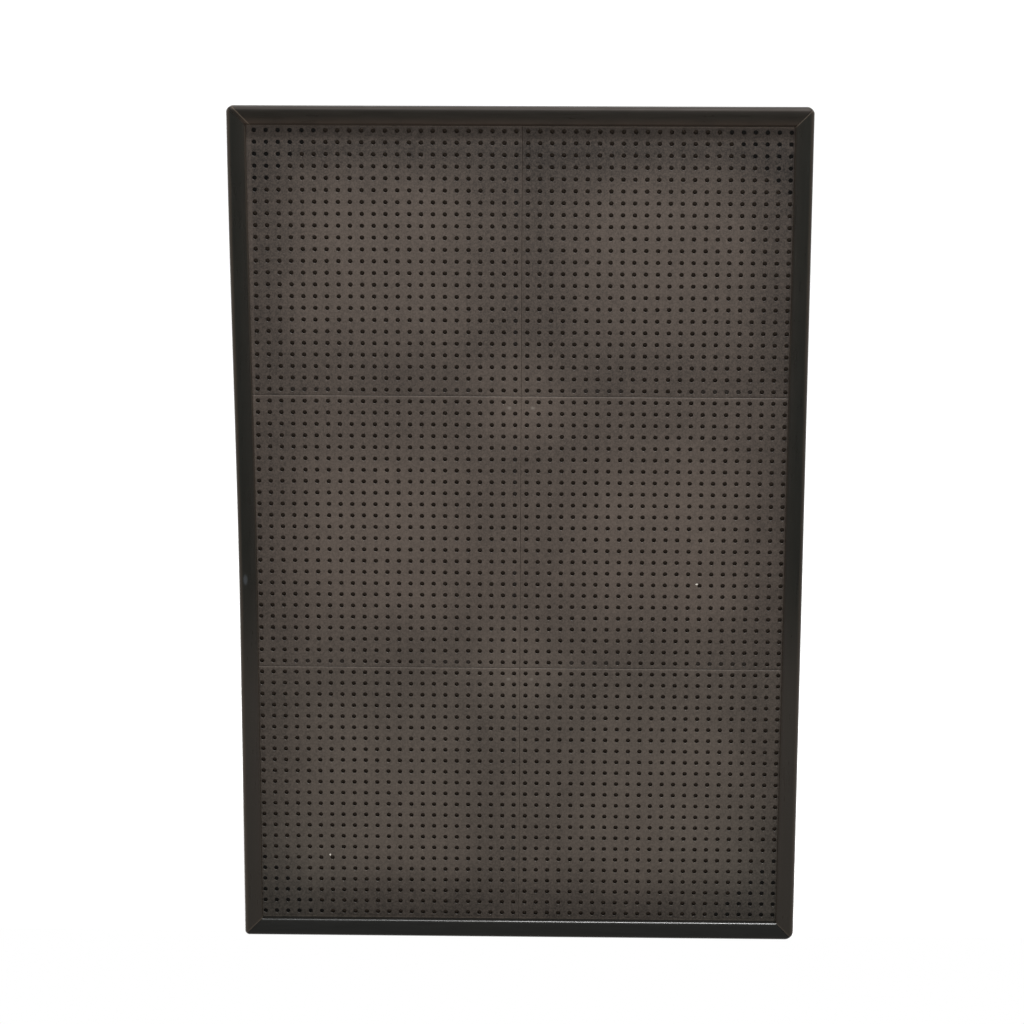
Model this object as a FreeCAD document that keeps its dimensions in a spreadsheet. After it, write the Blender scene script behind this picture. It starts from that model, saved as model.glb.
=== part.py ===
import FreeCAD, Part
import os
import Sketcher
from FreeCAD import Placement, Rotation, Vector

# A wall-hung display panel for pegs and hooks: six perforated tiles in a mitred black frame.
#
# Upright frame of the finished part: +X to the viewer's right, +Z up, the front faces -Y, and the
# origin is the centre of the bounding box. Every piece is drawn lying on its back instead, with x to
# the right, y up the panel and z towards the front, and stand() then sets it upright.

SIZES = {
    # tiles: a square plate of holes with ribs behind it
    "pitch": 12.7,
    "tile_holes": 24,
    "hole_diameter": 4.76,
    "plate_thickness": 2.8,
    "plate_round": 0.5,
    "seam_gap": 0.2,
    "rib_depth": 3.6,
    "rib_thickness": 1.6,
    "ring_pitches": 8,
    "boss_diameter": 6.0,
    "pilot_diameter": 2.2,
    "pilot_depth": 5.2,
    # tongues that pass behind the next tile at a seam
    "tongue_width": 72.0,
    "tongue_reach": 9.4,
    "tongue_thickness": 1.6,
    "tongue_clearance": 0.3,
    "tongue_pitches": 5.5,
    # frame: an L-section, with a lip in front of the tiles and a wall around them
    "frame_width": 620.0,
    "frame_height": 930.0,
    "frame_depth": 19.4,
    "face_width": 20.0,
    "lip_depth": 8.6,
    "wall_thickness": 5.0,
    "outer_round": 4.2,
    "inner_round": 3.0,
    "corner_top_left": 5.7,
    "corner_top_right": 6.4,
    "corner_bottom_left": 5.0,
    "corner_bottom_right": 9.5,
    "mitre_gap": 0.2,
    "mitre_overrun": 1.0,
    # thin steel keys driven across each mitre from behind
    "key_length": 10.0,
    "key_thickness": 0.8,
    "key_depth": 5.0,
    "key_inner_step": 4.5,
    "key_outer_step": 10.0,
    # back board and the blocks between it and the corner tiles
    "board_thickness": 3.0,
    "board_clearance": 0.5,
    "block_leg": 96.0,
    "block_tip": 8.0,
    "block_clearance": 0.3,
    "boss_clearance": 0.5,
    # screws, all with flat countersunk heads
    "screw_head_diameter": 6.4,
    "screw_head_depth": 1.6,
    "screw_clearance": 0.2,
    "long_screw_diameter": 3.2,
    "long_screw_length": 16.0,
    "short_screw_diameter": 2.2,
    "short_screw_length": 7.5,
    # keyhole hanger plates
    "hanger_width": 56.0,
    "hanger_height": 22.0,
    "hanger_thickness": 1.2,
    "hanger_round": 3.0,
    "hanger_column": 10.5,
    "hanger_screw_spacing": 38.1,
    "hanger_top_gap": 0.6,
    "keyhole_head_diameter": 9.5,
    "keyhole_slot_width": 5.0,
    "keyhole_slot_rise": 7.0,
    "keyhole_head_height": 7.0,
    "window_width": 13.0,
    "window_height": 18.0,
}

COLUMNS = ("left", "right")
ROWS = ("bottom", "middle", "top")
CORNERS = {"bottom_left": (-1, -1), "bottom_right": (1, -1), "top_right": (1, 1), "top_left": (-1, 1)}

# Holes of the hidden outer rows and columns that take a screw, counted from either end.
SCREWS_ALONG_WIDTH = (2, 6, 17)
SCREWS_ALONG_HEIGHT = (2, 6, 18, 29)

UPRIGHT = Rotation(Vector(1, 0, 0), 90)

TILE_SIDE = "(Sizes.tile_holes * Sizes.pitch - Sizes.seam_gap)"
TILE_DEPTH = "(Sizes.plate_thickness + Sizes.rib_depth)"
BOARD_FRONT = f"(Sizes.frame_depth - Sizes.lip_depth - {TILE_DEPTH})"
BOARD_BACK = f"({BOARD_FRONT} - Sizes.board_thickness)"
HANGER_Y = (
    "(Sizes.frame_height / 2 - Sizes.wall_thickness - Sizes.hanger_top_gap - Sizes.hanger_height / 2)"
)
TOLERANCE = 1e-4

doc = FreeCAD.newDocument("peg_display_panel")
sheet = doc.addObject("Spreadsheet::Sheet", "Sizes")
for line, (alias, value) in enumerate(SIZES.items(), start=1):
    sheet.set(f"A{line}", alias)
    sheet.set(f"B{line}", str(value))
    sheet.setAlias(f"B{line}", alias)
doc.recompute()


def number(expression):
    """The value of an expression on the sheet, as a plain number."""
    return float(sheet.evalExpression(expression))


def bind(thing, expressions):
    """Bind properties of an object to expressions on the sheet."""
    for name, expression in expressions.items():
        thing.setExpression(name, expression)


def stand(thing, x="0", y="0", z="0", turn=0):
    """Set a piece upright, at the place that it has on the panel lying on its back."""
    thing.Placement = Placement(Vector(), UPRIGHT.multiply(Rotation(Vector(0, 0, 1), turn)))
    across, back, up = (f"Placement.Base.{axis}" for axis in "xyz")
    bind(thing, {across: x, back: f"Sizes.frame_depth / 2 - ({z})", up: y})


def origin(body, role):
    """The origin plane or axis of a body with that role."""
    return next(feature for feature in body.Origin.OriginFeatures if feature.Role == role)


def new_body(name):
    """An empty body whose label is the name of its piece."""
    body = doc.addObject("PartDesign::Body", name)
    body.Label = name
    return body


def new_sketch(body, name, z="0"):
    """A sketch parallel to the panel, at height z of its body."""
    sketch = body.newObject("Sketcher::SketchObject", name)
    sketch.AttachmentSupport = (origin(body, "XY_Plane"), [""])
    sketch.MapMode = "FlatFace"
    bind(sketch, {"AttachmentOffset.Base.z": z})
    return sketch


def constrain(sketch, name, constraint, expression):
    """Add a dimension to a sketch, by name, and bind it to an expression."""
    sketch.renameConstraint(sketch.addConstraint(constraint), name)
    sketch.setExpression(f"Constraints.{name}", expression)


def add_outline(sketch, name, points):
    """A closed outline of straight lines through points given as pairs of expressions."""
    first = sketch.GeometryCount
    corners = [Vector(number(x), number(y), 0) for x, y in points]
    for start, end in zip(corners, corners[1:] + corners[:1]):
        sketch.addGeometry(Part.LineSegment(start, end), False)
    for i, (x, y) in enumerate(points):
        side, before = first + i, first + (i - 1) % len(points)
        sketch.addConstraint(Sketcher.Constraint("Coincident", before, 2, side, 1))
        across = Sketcher.Constraint("DistanceX", -1, 1, side, 1, corners[i].x)
        constrain(sketch, f"{name}_{i}_x", across, x)
        along = Sketcher.Constraint("DistanceY", -1, 1, side, 1, corners[i].y)
        constrain(sketch, f"{name}_{i}_y", along, y)


def add_rectangle(sketch, name, width, height, x="0", y="0"):
    """A rectangle about the point (x, y)."""
    signs = ((-1, -1), (1, -1), (1, 1), (-1, 1))
    points = [(f"{x} + ({i}) * {width} / 2", f"{y} + ({j}) * {height} / 2") for i, j in signs]
    add_outline(sketch, name, points)


def add_circle(sketch, name, diameter, x, y):
    """A circle about the point (x, y)."""
    centre = Vector(number(x), number(y), 0)
    circle = sketch.addGeometry(Part.Circle(centre, Vector(0, 0, 1), number(diameter) / 2), False)
    size = Sketcher.Constraint("Diameter", circle, number(diameter))
    constrain(sketch, f"{name}_diameter", size, diameter)
    constrain(sketch, f"{name}_x", Sketcher.Constraint("DistanceX", -1, 1, circle, 3, centre.x), x)
    constrain(sketch, f"{name}_y", Sketcher.Constraint("DistanceY", -1, 1, circle, 3, centre.y), y)


def pad(body, sketch, name, length):
    """Raise a sketch towards the front."""
    feature = body.newObject("PartDesign::Pad", name)
    feature.Profile = sketch
    bind(feature, {"Length": length})
    return feature


def pocket(body, sketch, name, depth, towards_front=False):
    """Sink a sketch into the body, and make sure that it takes material away."""
    doc.recompute()
    before = body.Tip.Shape.Volume
    feature = body.newObject("PartDesign::Pocket", name)
    feature.Profile = sketch
    feature.Reversed = towards_front
    bind(feature, {"Length": depth})
    doc.recompute()
    if feature.Shape.Volume > before - TOLERANCE:
        raise RuntimeError(f"{feature.Name} cuts nothing")
    return feature


def fillet(body, name, radius, test):
    """Round the edges of the body that pass a test on their middle point."""
    doc.recompute()
    base = body.Tip
    edges = enumerate(base.Shape.Edges, start=1)
    chosen = [f"Edge{i}" for i, edge in edges if test(edge.BoundBox.Center, edge.BoundBox)]
    feature = body.newObject("PartDesign::Fillet", name)
    feature.Base = (base, chosen)
    bind(feature, {"Radius": radius})
    doc.recompute()
    return feature


def group(name, solid, places):
    """Copies of one solid as a piece of several separate solids, for example a set of screws."""
    copies = []
    for place in places:
        copy = solid.Shape.copy()
        copy.Placement = place
        copies.append(copy)
    piece = doc.addObject("Part::Feature", name)
    piece.Label = name
    piece.Shape = Part.makeCompound(copies)
    stand(piece)
    return piece


def boolean(kind, name, base, tool):
    """A Part::Cut or Part::Common of two objects."""
    piece = doc.addObject(f"Part::{kind}", name)
    piece.Label = name
    piece.Base = base
    piece.Tool = tool
    return piece


def hole_place(column, row):
    """The middle of a hole of the whole grid, counted from the lower left one."""
    across = number(f"{len(COLUMNS)} * Sizes.tile_holes - 1")
    up = number(f"{len(ROWS)} * Sizes.tile_holes - 1")
    pitch = number("Sizes.pitch")
    return Vector((column - across / 2) * pitch, (row - up / 2) * pitch, 0)


# ---- fasteners -------------------------------------------------------------------------------------


def make_screw(name, diameter, length, extra="0"):
    """A countersunk screw along +z, with its flat head at z = 0, or a larger one as its clearance."""
    head = doc.addObject("Part::Cone", f"{name}_head")
    head_radius = f"Sizes.screw_head_diameter / 2 + {extra}"
    bind(head, {"Radius1": head_radius, "Radius2": f"{diameter} / 2 + {extra}"})
    bind(head, {"Height": "Sizes.screw_head_depth"})
    shank = doc.addObject("Part::Cylinder", f"{name}_shank")
    bind(shank, {"Radius": f"{diameter} / 2 + {extra}", "Height": length})
    screw = doc.addObject("Part::Fuse", name)
    screw.Base = head
    screw.Tool = shank
    screw.Refine = True
    doc.recompute()
    return screw


def board_screw_places():
    """Holes of the hidden outer rows and columns that take the screws of the back board."""
    last_column = len(COLUMNS) * SIZES["tile_holes"] - 1
    last_row = len(ROWS) * SIZES["tile_holes"] - 1
    back = Vector(0, 0, number(BOARD_BACK))
    places = []
    for step in SCREWS_ALONG_WIDTH:
        for column in (step, last_column - step):
            places += [hole_place(column, row) + back for row in (0, last_row)]
    for step in SCREWS_ALONG_HEIGHT:
        for row in (step, last_row - step):
            places += [hole_place(column, row) + back for column in (0, last_column)]
    return [Placement(place, Rotation()) for place in places]


def tile_screw_places():
    """One screw for the boss in each corner of each tile."""
    side = number("Sizes.tile_holes * Sizes.pitch")
    reach = side / 2 - number("Sizes.pitch")
    places = []
    for column in range(len(COLUMNS)):
        for row in range(len(ROWS)):
            x = (column - (len(COLUMNS) - 1) / 2) * side
            y = (row - (len(ROWS) - 1) / 2) * side
            for i, j in CORNERS.values():
                point = Vector(x + i * reach, y + j * reach, number(BOARD_BACK))
                places.append(Placement(point, Rotation()))
    return places


def hanger_screw_places():
    """Two screws for each hanger plate, in the hidden top row of holes."""
    last_column = len(COLUMNS) * SIZES["tile_holes"] - 1
    last_row = len(ROWS) * SIZES["tile_holes"] - 1
    half = number("Sizes.hanger_screw_spacing / Sizes.pitch / 2")
    left = number("Sizes.hanger_column")
    height = Vector(0, 0, number(f"{BOARD_BACK} - Sizes.hanger_thickness"))
    columns = [middle + i * half for middle in (left, last_column - left) for i in (-1, 1)]
    return [Placement(hole_place(column, last_row) + height, Rotation()) for column in columns]


def mitre_key_places():
    """Two keys across each mitre, square to it and sunk into the back of the lip."""
    half_width = number("Sizes.frame_width / 2 - Sizes.face_width")
    half_height = number("Sizes.frame_height / 2 - Sizes.face_width")
    middle = Vector(number("-Sizes.key_length / 2"), number("-Sizes.key_thickness / 2"), 0)
    places = []
    for i, j in CORNERS.values():
        turn = Rotation(Vector(0, 0, 1), -45 * i * j)
        for step in (number("Sizes.key_inner_step"), number("Sizes.key_outer_step")):
            point = Vector(i * (half_width + step), j * (half_height + step), 0)
            point.z = number("Sizes.frame_depth - Sizes.lip_depth")
            places.append(Placement(point + turn.multVec(middle), turn))
    return places


long_size = ("Sizes.long_screw_diameter", "Sizes.long_screw_length")
short_size = ("Sizes.short_screw_diameter", "Sizes.short_screw_length")
long_screw = make_screw("long_screw", *long_size)
short_screw = make_screw("short_screw", *short_size)
long_clearance = make_screw("long_clearance", *long_size, extra="Sizes.screw_clearance")
short_clearance = make_screw("short_clearance", *short_size, extra="Sizes.screw_clearance")

key = doc.addObject("Part::Box", "mitre_key")
bind(key, {"Length": "Sizes.key_length", "Width": "Sizes.key_thickness", "Height": "Sizes.key_depth"})
doc.recompute()

board_screws = group("back_board_screws", long_screw, board_screw_places())
tile_screws = group("tile_screws", short_screw, tile_screw_places())
hanger_screws = group("hanger_screws", long_screw, hanger_screw_places())
mitre_keys = group("mitre_keys", key, mitre_key_places())
pieces = [board_screws, tile_screws, hanger_screws, mitre_keys]

# ---- frame -----------------------------------------------------------------------------------------


def make_frame_stock():
    """The whole frame as one ring: rounded outside, lip in front, open at the back."""
    body = new_body("frame_stock")
    outline = new_sketch(body, "frame_outline")
    add_rectangle(outline, "outer", "Sizes.frame_width", "Sizes.frame_height")
    pad(body, outline, "frame_block", "Sizes.frame_depth")
    half_width, half_height = number("Sizes.frame_width / 2"), number("Sizes.frame_height / 2")
    front = number("Sizes.frame_depth")
    for corner, (i, j) in CORNERS.items():
        middle = Vector(i * half_width, j * half_height, front / 2)
        fillet(
            body,
            f"round_{corner}",
            f"Sizes.corner_{corner}",
            lambda point, box, middle=middle: point.distanceToPoint(middle) < TOLERANCE,
        )
    fillet(body, "round_front", "Sizes.outer_round", lambda point, box: box.ZMin > front - TOLERANCE)

    opening = new_sketch(body, "opening", "Sizes.frame_depth")
    open_width = "(Sizes.frame_width - 2 * Sizes.face_width)"
    open_height = "(Sizes.frame_height - 2 * Sizes.face_width)"
    add_rectangle(opening, "opening", open_width, open_height)
    pocket(body, opening, "display_opening", "Sizes.frame_depth")
    reach_x = half_width - number("Sizes.face_width") + TOLERANCE
    reach_y = half_height - number("Sizes.face_width") + TOLERANCE
    fillet(
        body,
        "round_opening",
        "Sizes.inner_round",
        lambda point, box: box.ZMin > front - TOLERANCE
        and max(abs(box.XMin), abs(box.XMax)) < reach_x
        and max(abs(box.YMin), abs(box.YMax)) < reach_y,
    )

    rebate = new_sketch(body, "rebate", "Sizes.frame_depth - Sizes.lip_depth")
    rebate_width = "(Sizes.frame_width - 2 * Sizes.wall_thickness)"
    rebate_height = "(Sizes.frame_height - 2 * Sizes.wall_thickness)"
    add_rectangle(rebate, "rebate", rebate_width, rebate_height)
    pocket(body, rebate, "tile_rebate", "Sizes.frame_depth - Sizes.lip_depth")
    stand(body)
    return body


def make_rail(side, length, x, y, turn, stock):
    """One rail, cut from the ring at 45 degrees at both ends."""
    template = doc.addObject("Part::Wedge", f"{side}_mitre_template")
    outer = f"({length} / 2 + Sizes.mitre_overrun - Sizes.mitre_gap / sqrt(2))"
    inner = f"({length} / 2 - Sizes.face_width - Sizes.mitre_overrun - Sizes.mitre_gap / sqrt(2))"
    bind(template, {"Xmin": f"-{outer}", "Xmax": outer, "X2min": f"-{inner}", "X2max": inner})
    bind(template, {"Ymin": "-Sizes.mitre_overrun", "Ymax": "Sizes.face_width + Sizes.mitre_overrun"})
    bind(template, {"Zmin": "0", "Z2min": "0", "Zmax": "Sizes.frame_depth", "Z2max": "Sizes.frame_depth"})
    stand(template, x, y, turn=turn)
    return boolean("Common", f"rail_{side}", stock, template)


stock = make_frame_stock()
for fasteners in (board_screws, hanger_screws, mitre_keys):
    stock = boolean("Cut", f"frame_with_{fasteners.Name}", stock, fasteners)
half_width, half_height = "Sizes.frame_width / 2", "Sizes.frame_height / 2"
pieces += [
    make_rail("bottom", "Sizes.frame_width", "0", f"-{half_height}", 0, stock),
    make_rail("right", "Sizes.frame_height", half_width, "0", 90, stock),
    make_rail("top", "Sizes.frame_width", "0", half_height, 180, stock),
    make_rail("left", "Sizes.frame_height", f"-{half_width}", "0", 270, stock),
]

# ---- tiles -----------------------------------------------------------------------------------------


def add_ribs(body):
    """A rim, a square ring about the middle, spokes from the ring to the rim, and corner bosses."""
    rim = new_sketch(body, "rim")
    add_rectangle(rim, "outside", TILE_SIDE, TILE_SIDE)
    inside = f"({TILE_SIDE} - 2 * Sizes.rib_thickness)"
    add_rectangle(rim, "inside", inside, inside)
    pad(body, rim, "rim_wall", "Sizes.rib_depth")

    ring = new_sketch(body, "ring")
    ring_size = "(Sizes.ring_pitches * Sizes.pitch + Sizes.rib_thickness)"
    add_rectangle(ring, "outside", ring_size, ring_size)
    hollow = f"({ring_size} - 2 * Sizes.rib_thickness)"
    add_rectangle(ring, "inside", hollow, hollow)
    pad(body, ring, "ring_wall", "Sizes.rib_depth")

    spokes = new_sketch(body, "spokes")
    spoke_length = "((Sizes.tile_holes - Sizes.ring_pitches) * Sizes.pitch / 2 - Sizes.rib_thickness / 2)"
    spoke_middle = "((Sizes.tile_holes + Sizes.ring_pitches) * Sizes.pitch / 4)"
    for i in (-1, 1):
        side = "low" if i < 0 else "high"
        reach = f"({i}) * {spoke_middle}"
        add_rectangle(spokes, f"across_{side}", spoke_length, "Sizes.rib_thickness", reach, "0")
        add_rectangle(spokes, f"along_{side}", "Sizes.rib_thickness", spoke_length, "0", reach)
    pad(body, spokes, "spoke_walls", "Sizes.rib_depth")

    bosses = new_sketch(body, "bosses")
    pilots = new_sketch(body, "pilots")
    reach = "(Sizes.tile_holes / 2 - 1) * Sizes.pitch"
    for corner, (i, j) in CORNERS.items():
        place = (f"({i}) * {reach}", f"({j}) * {reach}")
        add_circle(bosses, corner, "Sizes.boss_diameter", *place)
        add_circle(pilots, corner, "Sizes.pilot_diameter", *place)
    pad(body, bosses, "boss_posts", "Sizes.rib_depth")
    pocket(body, pilots, "screw_pilots", "Sizes.pilot_depth", towards_front=True)


def add_tongues(body, name, across, up):
    """Two tongues beyond one edge of the tile, close behind the plate of the next tile."""
    level = "Sizes.rib_depth - Sizes.tongue_clearance - Sizes.tongue_thickness"
    sketch = new_sketch(body, name, level)
    length = "(Sizes.tongue_reach + Sizes.rib_thickness)"
    edge = f"({TILE_SIDE} / 2 + (Sizes.tongue_reach - Sizes.rib_thickness) / 2)"
    for i in (-1, 1):
        offset = f"({i}) * Sizes.tongue_pitches * Sizes.pitch"
        side = "low" if i < 0 else "high"
        if across:
            place = (length, "Sizes.tongue_width", f"({across}) * {edge}", offset)
        else:
            place = ("Sizes.tongue_width", length, offset, f"({up}) * {edge}")
        add_rectangle(sketch, side, *place)
    pad(body, sketch, f"{name}_pad", "Sizes.tongue_thickness")


def add_notches(body, name, across, up):
    """Gaps in the rim that let the next tile's tongues pass."""
    sketch = new_sketch(body, name, "Sizes.rib_depth")
    width = "(Sizes.tongue_width + 4 * Sizes.tongue_clearance)"
    length = "(2 * Sizes.rib_thickness)"
    for i in (-1, 1):
        offset = f"({i}) * Sizes.tongue_pitches * Sizes.pitch"
        side = "low" if i < 0 else "high"
        if across:
            place = (length, width, f"({across}) * {TILE_SIDE} / 2", offset)
        else:
            place = (width, length, offset, f"({up}) * {TILE_SIDE} / 2")
        add_rectangle(sketch, side, *place)
    pocket(body, sketch, f"{name}_cut", "Sizes.rib_depth")


def add_holes(body):
    """The square grid of peg holes through the plate."""
    sketch = new_sketch(body, "first_hole", TILE_DEPTH)
    reach = "(1 - Sizes.tile_holes) / 2 * Sizes.pitch"
    add_circle(sketch, "hole", "Sizes.hole_diameter", reach, reach)
    hole = pocket(body, sketch, "first_hole_cut", "Sizes.plate_thickness")
    grid = body.newObject("PartDesign::MultiTransform", "hole_grid")
    grid.Originals = [hole]
    patterns = []
    for axis in ("X_Axis", "Y_Axis"):
        pattern = body.newObject("PartDesign::LinearPattern", f"repeat_along_{axis}")
        pattern.Direction = (origin(body, axis), [""])
        bind(pattern, {"Length": "(Sizes.tile_holes - 1) * Sizes.pitch"})
        bind(pattern, {"Occurrences": "Sizes.tile_holes"})
        patterns.append(pattern)
    grid.Transformations = patterns
    body.Tip = grid


def make_tile(column, row):
    """One moulded tile. Its back is at z = 0 and its front at TILE_DEPTH."""
    body = new_body(f"tile_{ROWS[row]}_{COLUMNS[column]}")
    outline = new_sketch(body, "plate_outline", "Sizes.rib_depth")
    add_rectangle(outline, "plate", TILE_SIDE, TILE_SIDE)
    pad(body, outline, "plate", "Sizes.plate_thickness")
    front = number(TILE_DEPTH)
    fillet(body, "plate_edge", "Sizes.plate_round", lambda point, box: box.ZMin > front - TOLERANCE)
    add_ribs(body)
    if column > 0:
        add_tongues(body, "left_tongues", -1, 0)
    if column < len(COLUMNS) - 1:
        add_notches(body, "right_notches", 1, 0)
    if row < len(ROWS) - 1:
        add_tongues(body, "upper_tongues", 0, 1)
    if row > 0:
        add_notches(body, "lower_notches", 0, -1)
    add_holes(body)
    side = "Sizes.tile_holes * Sizes.pitch"
    x = f"({column} - {len(COLUMNS) - 1} / 2) * {side}"
    y = f"({row} - {len(ROWS) - 1} / 2) * {side}"
    stand(body, x, y, BOARD_FRONT)
    return body


pieces += [make_tile(column, row) for row in range(len(ROWS)) for column in range(len(COLUMNS))]

# ---- behind the tiles ------------------------------------------------------------------------------


def make_corner_block(corner, turn):
    """A triangular block between the back board and the plate of a corner tile.

    Its own x and y run inwards along the two edges of the tile, from the tile's outer corner.
    """
    body = new_body(f"corner_block_{corner}")
    outline = new_sketch(body, "outline")
    near = "(Sizes.seam_gap / 2 + Sizes.rib_thickness + Sizes.block_clearance)"
    far, tip = f"({near} + Sizes.block_leg)", f"({near} + Sizes.block_tip)"
    add_outline(outline, "edge", [(near, near), (far, near), (far, tip), (tip, far), (near, far)])
    pad(body, outline, "block", "Sizes.rib_depth - Sizes.block_clearance")

    holes = new_sketch(body, "holes", "Sizes.rib_depth")
    boss_hole = "Sizes.boss_diameter + 2 * Sizes.boss_clearance"
    add_circle(holes, "boss", boss_hole, "Sizes.pitch", "Sizes.pitch")
    screw_hole = "Sizes.long_screw_diameter + 2 * Sizes.screw_clearance"
    for step in (step for step in SCREWS_ALONG_WIDTH if step in SCREWS_ALONG_HEIGHT):
        along = f"({step} + 1 / 2) * Sizes.pitch"
        add_circle(holes, f"across_{step}", screw_hole, along, "Sizes.pitch / 2")
        add_circle(holes, f"along_{step}", screw_hole, "Sizes.pitch / 2", along)
    pocket(body, holes, "screw_holes", "Sizes.rib_depth")

    i, j = CORNERS[corner]
    x = f"({i}) * {len(COLUMNS)} * Sizes.tile_holes * Sizes.pitch / 2"
    y = f"({j}) * {len(ROWS)} * Sizes.tile_holes * Sizes.pitch / 2"
    stand(body, x, y, BOARD_FRONT, turn)
    return body


def make_hanger(side, sign):
    """A steel plate with a keyhole, flat on the back of the board and screwed into the top lip."""
    body = new_body(f"hanger_blank_{side}")
    outline = new_sketch(body, "outline")
    add_rectangle(outline, "plate", "Sizes.hanger_width", "Sizes.hanger_height")
    pad(body, outline, "plate", "Sizes.hanger_thickness")
    fillet(
        body,
        "plate_corners",
        "Sizes.hanger_round",
        lambda point, box: box.ZLength > TOLERANCE and box.XLength < TOLERANCE,
    )
    low = "(Sizes.keyhole_head_height - Sizes.hanger_height / 2)"
    high = f"({low} + Sizes.keyhole_slot_rise)"
    head = new_sketch(body, "head", "Sizes.hanger_thickness")
    add_circle(head, "head", "Sizes.keyhole_head_diameter", "0", low)
    pocket(body, head, "keyhole_head", "Sizes.hanger_thickness")
    slot = new_sketch(body, "slot", "Sizes.hanger_thickness")
    middle = f"({low} + Sizes.keyhole_slot_rise / 2)"
    add_rectangle(slot, "slot", "Sizes.keyhole_slot_width", "Sizes.keyhole_slot_rise", "0", middle)
    pocket(body, slot, "keyhole_slot", "Sizes.hanger_thickness")
    end = new_sketch(body, "slot_end", "Sizes.hanger_thickness")
    add_circle(end, "end", "Sizes.keyhole_slot_width", "0", high)
    pocket(body, end, "keyhole_end", "Sizes.hanger_thickness")
    holes_across = f"({len(COLUMNS)} * Sizes.tile_holes - 1)"
    x = f"({sign}) * ({holes_across} / 2 - Sizes.hanger_column) * Sizes.pitch"
    stand(body, x, HANGER_Y, f"{BOARD_BACK} - Sizes.hanger_thickness")
    return boolean("Cut", f"hanger_plate_{side}", body, hanger_screws)


def make_keyhole_window(side, sign):
    """The space in the back board behind a keyhole, for the head of the wall screw."""
    window = doc.addObject("Part::Box", f"keyhole_window_{side}")
    bind(window, {"Length": "Sizes.window_width", "Width": "Sizes.window_height"})
    bind(window, {"Height": "Sizes.board_thickness"})
    holes_across = f"({len(COLUMNS)} * Sizes.tile_holes - 1)"
    x = f"({sign}) * ({holes_across} / 2 - Sizes.hanger_column) * Sizes.pitch - Sizes.window_width / 2"
    stand(window, x, f"{HANGER_Y} - Sizes.window_height / 2", BOARD_BACK)
    return window


def make_back_board():
    """The hardboard sheet that closes the back, drilled for every screw."""
    body = new_body("board_blank")
    outline = new_sketch(body, "outline")
    margin = "2 * (Sizes.wall_thickness + Sizes.board_clearance)"
    width, height = f"(Sizes.frame_width - {margin})", f"(Sizes.frame_height - {margin})"
    add_rectangle(outline, "board", width, height)
    pad(body, outline, "board", "Sizes.board_thickness")
    stand(body, z=BOARD_BACK)
    cuts = [
        group("board_screw_room", long_clearance, board_screw_places()),
        group("tile_screw_room", short_clearance, tile_screw_places()),
        group("hanger_screw_room", long_clearance, hanger_screw_places()),
        make_keyhole_window("left", -1),
        make_keyhole_window("right", 1),
    ]
    board = body
    for cut in cuts[:-1]:
        board = boolean("Cut", f"board_with_{cut.Name}", board, cut)
    return boolean("Cut", "back_board", board, cuts[-1])


turns = {"bottom_left": 0, "bottom_right": 90, "top_right": 180, "top_left": 270}
pieces += [make_corner_block(corner, turn) for corner, turn in turns.items()]
pieces += [make_hanger("left", -1), make_hanger("right", 1), make_back_board()]

# ---- check and write -------------------------------------------------------------------------------

doc.recompute()
for thing in doc.Objects:
    if {"Invalid", "Error"} & set(thing.State):
        raise RuntimeError(f"{thing.Name} failed: {thing.State}")
for piece in pieces:
    if piece.Shape.isNull() or not piece.Shape.isValid() or not piece.Shape.Solids:
        raise RuntimeError(f"{piece.Label} has no valid solid")

os.makedirs("parts", exist_ok=True)
for piece in pieces:
    piece.Shape.exportStep(f"parts/{piece.Label}.step")
    box = piece.Shape.BoundBox
    solids = len(piece.Shape.Solids)
    print(
        f"{piece.Label}: {solids} solid(s), {piece.Shape.Volume / 1000:.2f} cm3,"
        f" X {box.XMin:.2f} {box.XMax:.2f}, Y {box.YMin:.2f} {box.YMax:.2f},"
        f" Z {box.ZMin:.2f} {box.ZMax:.2f}"
    )
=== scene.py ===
"""A wall-hung display panel: six perforated plastic tiles in a mitred, black-lacquered frame."""

import math

import bmesh
import bpy
import numpy as np
from mathutils import Matrix, Vector


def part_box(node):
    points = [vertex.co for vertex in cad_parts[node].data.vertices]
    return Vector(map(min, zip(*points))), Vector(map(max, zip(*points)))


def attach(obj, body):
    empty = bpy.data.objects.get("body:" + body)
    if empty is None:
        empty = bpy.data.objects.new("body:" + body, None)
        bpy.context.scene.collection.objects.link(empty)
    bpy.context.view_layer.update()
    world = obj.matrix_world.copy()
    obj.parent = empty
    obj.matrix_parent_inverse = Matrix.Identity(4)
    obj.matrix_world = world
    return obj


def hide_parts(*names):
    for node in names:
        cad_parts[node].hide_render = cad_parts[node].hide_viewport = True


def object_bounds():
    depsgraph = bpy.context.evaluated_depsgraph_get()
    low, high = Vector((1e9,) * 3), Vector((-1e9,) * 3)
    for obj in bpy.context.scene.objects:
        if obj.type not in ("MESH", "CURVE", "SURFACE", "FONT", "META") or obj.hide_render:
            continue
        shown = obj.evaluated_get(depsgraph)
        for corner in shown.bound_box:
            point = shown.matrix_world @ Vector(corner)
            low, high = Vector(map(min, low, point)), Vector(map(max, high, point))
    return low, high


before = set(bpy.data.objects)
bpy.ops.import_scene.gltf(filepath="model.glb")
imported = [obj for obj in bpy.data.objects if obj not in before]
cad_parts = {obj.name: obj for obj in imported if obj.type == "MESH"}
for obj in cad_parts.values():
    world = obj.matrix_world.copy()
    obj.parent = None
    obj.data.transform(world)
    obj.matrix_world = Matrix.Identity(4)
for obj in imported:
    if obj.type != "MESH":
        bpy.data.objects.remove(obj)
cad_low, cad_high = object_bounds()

MM = 0.001
LEFT, RIGHT, BOTTOM, MIDDLE, TOP = "left", "right", "bottom", "middle", "top"
ROWS = {BOTTOM: -1, MIDDLE: 0, TOP: 1}
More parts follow.
